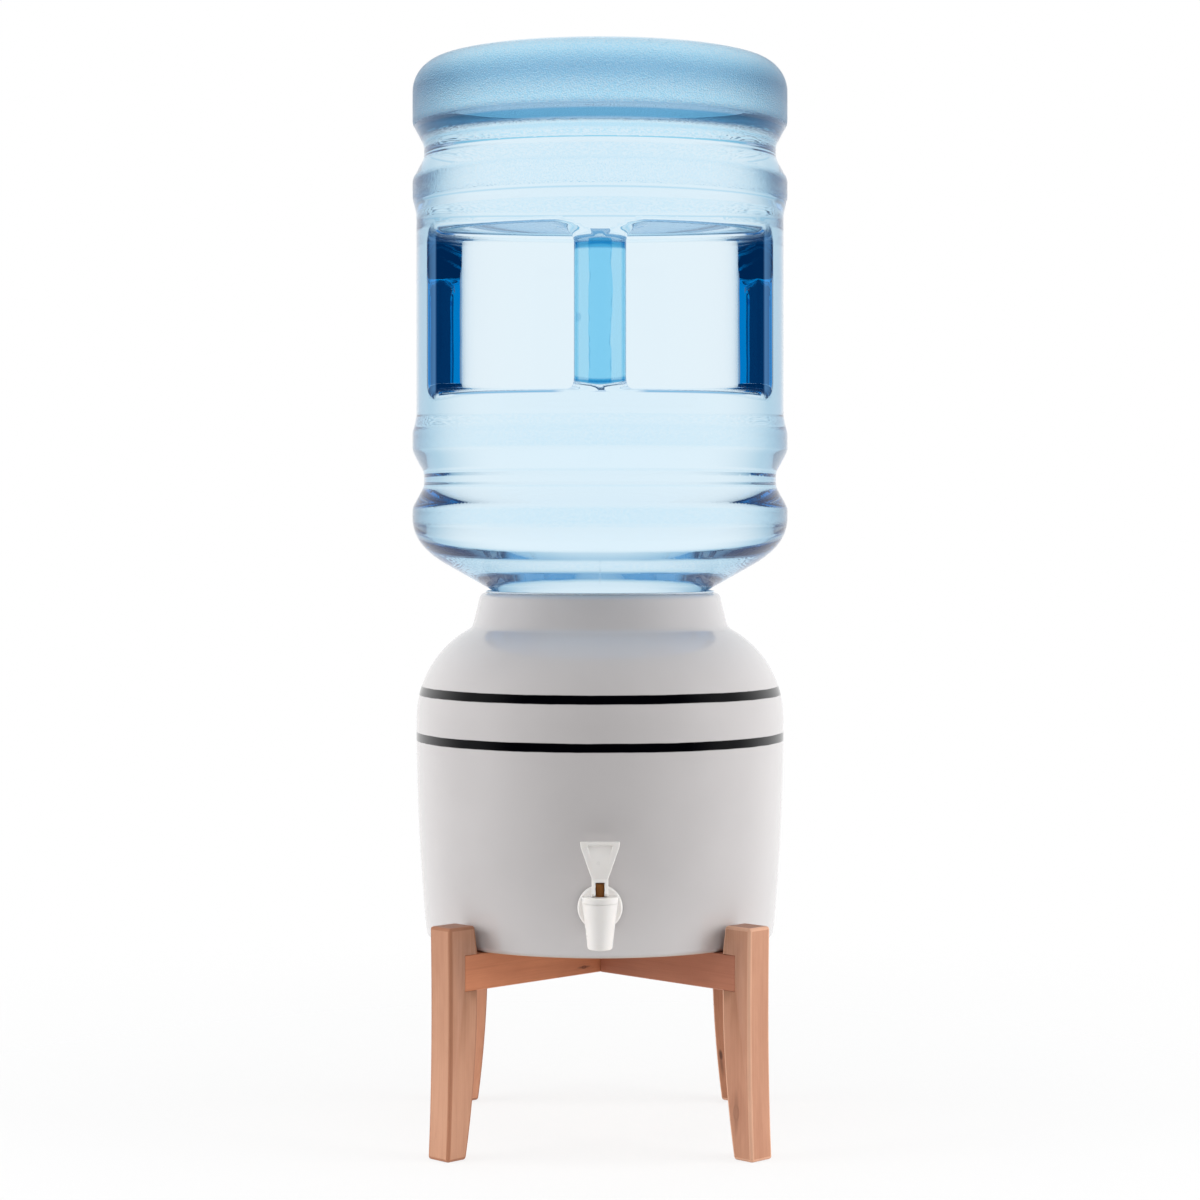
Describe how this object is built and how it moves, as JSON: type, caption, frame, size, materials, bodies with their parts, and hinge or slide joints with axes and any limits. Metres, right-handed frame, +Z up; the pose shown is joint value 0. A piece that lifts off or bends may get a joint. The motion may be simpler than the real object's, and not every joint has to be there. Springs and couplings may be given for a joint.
{
  "type": "water dispenser",
  "caption": "Glazed ceramic crock with a lever tap on a crossed wooden stand, with a large blue water bottle standing neck down in its mouth.",
  "frame": {"origin": "on the floor under the middle of the overall box; the crock's axis stands 11.8 mm behind it", "axes": "+Z up, -Y towards the user and the tap, +X to the user's right"},
  "size_m": [0.2696, 0.2931, 0.7681],
  "materials": {
    "wood": "clear satin lacquer",
    "dowel_wood": "raw",
    "glaze": "gloss",
    "silicone": "satin",
    "rubber": "matte",
    "tap_plastic": "gloss",
    "stem_plastic": "satin",
    "steel": "bright",
    "bottle_plastic": "clear gloss"
  },
  "bodies": {
    "stand": {"leg_front_left": "wood", "leg_front_right": "wood", "leg_back_left": "wood", "leg_back_right": "wood", "rail_notched_above": "wood", "rail_notched_below": "wood", "rail_dowels": "dowel_wood"},
    "crock": {"crock": "glaze", "mouth_gasket": "silicone", "tap_body": "tap_plastic", "tap_bonnet": "tap_plastic", "bonnet_seal": "rubber", "stem_seal": "rubber", "outer_washer": "rubber", "inner_washer": "rubber", "shank_nut": "tap_plastic", "valve_spring": "steel"},
    "bottle": {"bottle": "bottle_plastic"},
    "valve": {"valve_stem": "stem_plastic", "seat_cup": "silicone", "lever_pin": "steel"},
    "lever": {"tap_lever": "tap_plastic"}
  },
  "joints": [
    {"name": "crock_lift", "type": "slide", "parent": "stand", "child": "crock", "axis": [0, 0, 1], "range_m": [0, 0.06]},
    {"name": "bottle_lift", "type": "slide", "parent": "crock", "child": "bottle", "axis": [0, 0, 1], "range_m": [0, 0.14]},
    {"name": "valve_lift", "type": "slide", "parent": "crock", "child": "valve", "axis": [0, 0, 1], "range_m": [0, 0.0028], "deforming": ["valve_spring"]},
    {"name": "lever_tilt", "type": "hinge", "parent": "valve", "child": "lever", "pos_m": [0, -0.13416, 0.1902], "axis": [1, 0, 0], "range_deg": [0, 50], "stiffness_Nm_per_rad": 0.03, "springref_deg": -11.46}
  ],
  "couplings": [
    {"joint": "valve_lift", "follows": "lever_tilt", "m_per_rad": 0.0032}
  ]
}
